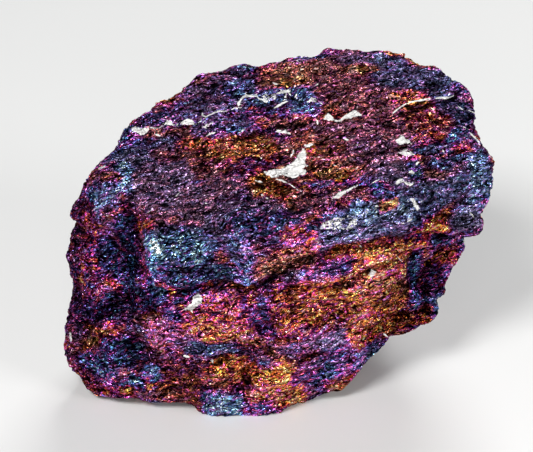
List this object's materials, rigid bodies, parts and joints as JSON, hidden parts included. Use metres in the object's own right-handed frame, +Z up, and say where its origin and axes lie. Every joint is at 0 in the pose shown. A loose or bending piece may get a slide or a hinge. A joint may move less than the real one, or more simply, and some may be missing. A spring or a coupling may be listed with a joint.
{
  "type": "peacock ore",
  "caption": "Hand-sized lump of iridescent tarnished copper sulphide ore with a flat tilted top and a broken, layered front.",
  "frame": {"origin": "on the resting plane, under the middle of the lump's bounding box", "axes": "+X to the right of someone facing the broken front, +Y to the back, +Z up"},
  "size_m": [0.0974, 0.0826, 0.0633],
  "materials": {
    "tarnished_sulphide": "granular metallic sulphide with iridescent tarnish in purple, blue, magenta, orange and gold, and small flush patches of white quartz"
  },
  "bodies": {
    "root": {"peacock_ore": "tarnished_sulphide"}
  },
  "joints": []
}
